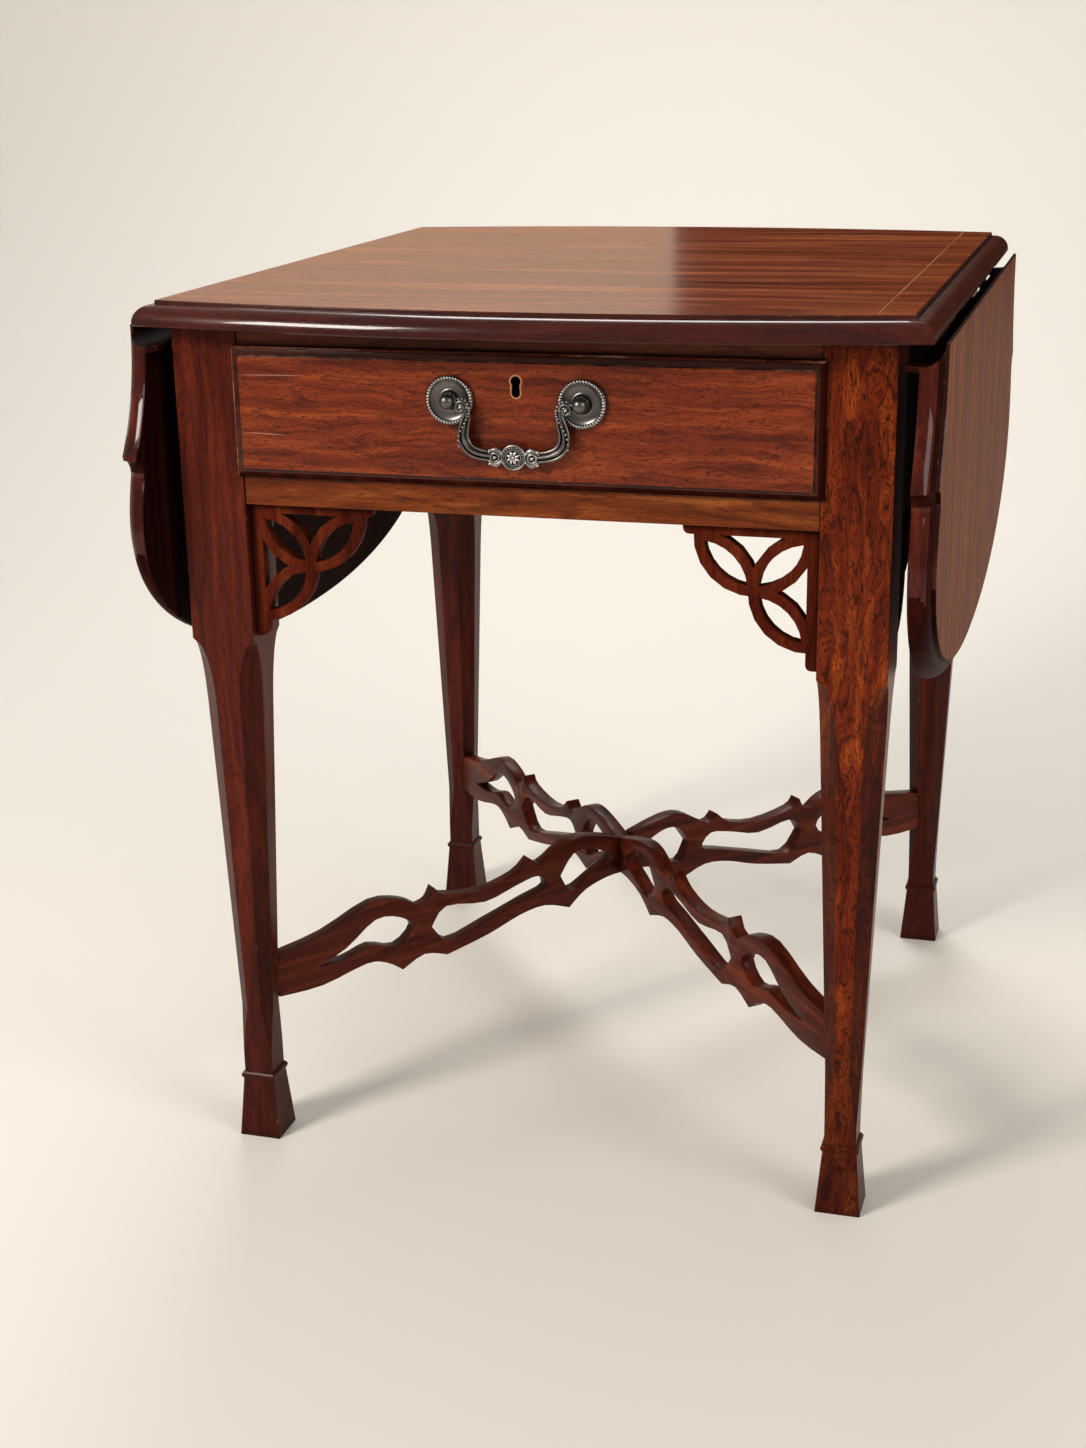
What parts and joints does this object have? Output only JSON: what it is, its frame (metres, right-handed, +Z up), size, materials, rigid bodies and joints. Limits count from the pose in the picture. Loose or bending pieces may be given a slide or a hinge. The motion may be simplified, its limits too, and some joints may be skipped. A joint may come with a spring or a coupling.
{
  "type": "drop-leaf end table",
  "caption": "Small mahogany occasional table with a bowed top, hinged side leaves, a drawer with bail pull, pierced corner brackets and crossed pierced stretchers.",
  "frame": {"origin": "on the floor under the middle of the table", "axes": "+Z up, -Y the drawer side, +X the right side seen from the drawer"},
  "size_m": [0.59, 0.663, 0.68],
  "materials": {
    "mahogany": "French polished, dark red-brown",
    "flame_mahogany": "French polished, flame figure",
    "oak_lining": "bare oak lining",
    "antiqued_pewter": "antiqued pewter, dark in the hollows",
    "dull_brass": "dull brass",
    "blackened_iron": "blackened iron"
  },
  "bodies": {
    "frame": {"drawer_guide_left": "oak_lining", "drawer_guide_right": "oak_lining", "drawer_kicker_left": "oak_lining", "drawer_kicker_right": "oak_lining", "drawer_runner_left": "oak_lining", "drawer_runner_right": "oak_lining", "fly_hanger_left": "mahogany", "fly_hanger_right": "mahogany", "fly_pin_left": "blackened_iron", "fly_pin_right": "blackened_iron", "fret_back_left": "mahogany", "fret_back_right": "mahogany", "fret_front_left": "mahogany", "fret_front_right": "mahogany", "fret_side_back_left": "mahogany", "fret_side_back_right": "mahogany", "fret_side_front_left": "mahogany", "fret_side_front_right": "mahogany", "hinge_left_back_pin": "blackened_iron", "hinge_left_back_plate": "blackened_iron", "hinge_left_front_pin": "blackened_iron", "hinge_left_front_plate": "blackened_iron", "hinge_right_back_pin": "blackened_iron", "hinge_right_back_plate": "blackened_iron", "hinge_right_front_pin": "blackened_iron", "hinge_right_front_plate": "blackened_iron", "leg_back_left": "mahogany", "leg_back_right": "flame_mahogany", "leg_front_left": "mahogany", "leg_front_right": "flame_mahogany", "rail_back": "mahogany", "rail_front_lower": "flame_mahogany", "rail_front_upper": "mahogany", "side_rail_left": "mahogany", "side_rail_right": "mahogany", "stretcher_one": "mahogany", "stretcher_two": "mahogany", "table_top": "mahogany"},
    "leaf_left": {"leaf_left": "mahogany", "hinge_left_front_flap": "blackened_iron", "hinge_left_back_flap": "blackened_iron"},
    "leaf_right": {"leaf_right": "mahogany", "hinge_right_front_flap": "blackened_iron", "hinge_right_back_flap": "blackened_iron"},
    "fly_left": {"fly_arm_left": "mahogany"},
    "fly_right": {"fly_arm_right": "mahogany"},
    "drawer": {"drawer_front": "flame_mahogany", "drawer_side_left": "oak_lining", "drawer_side_right": "oak_lining", "drawer_back": "oak_lining", "drawer_bottom": "oak_lining", "rosette_left": "antiqued_pewter", "rosette_right": "antiqued_pewter", "pull_post_left": "antiqued_pewter", "pull_post_right": "antiqued_pewter", "keyhole_escutcheon": "dull_brass", "lock_case": "dull_brass"},
    "bail": {"bail_handle": "antiqued_pewter"},
    "lock_bolt": {"lock_bolt": "blackened_iron"}
  },
  "joints": [
    {"name": "leaf_left_hinge", "type": "hinge", "parent": "frame", "child": "leaf_left", "pos_m": [-0.275, 0, 0.66], "axis": [0, 1, 0], "range_deg": [0, 90]},
    {"name": "leaf_right_hinge", "type": "hinge", "parent": "frame", "child": "leaf_right", "pos_m": [0.275, 0, 0.66], "axis": [0, -1, 0], "range_deg": [0, 90]},
    {"name": "fly_left_swing", "type": "hinge", "parent": "frame", "child": "fly_left", "pos_m": [-0.25225, -0.07, 0.62], "axis": [0, 0, 1], "range_deg": [0, 4]},
    {"name": "fly_right_swing", "type": "hinge", "parent": "frame", "child": "fly_right", "pos_m": [0.25225, -0.07, 0.62], "axis": [0, 0, -1], "range_deg": [0, 4]},
    {"name": "drawer_slide", "type": "slide", "parent": "frame", "child": "drawer", "axis": [0, -1, 0], "range_m": [0, 0.28]},
    {"name": "bail_swing", "type": "hinge", "parent": "drawer", "child": "bail", "pos_m": [0, -0.3018, 0.6155], "axis": [-1, 0, 0], "range_deg": [0, 85]},
    {"name": "lock_bolt_slide", "type": "slide", "parent": "drawer", "child": "lock_bolt", "axis": [0, 0, 1], "range_m": [0, 0.006]}
  ]
}
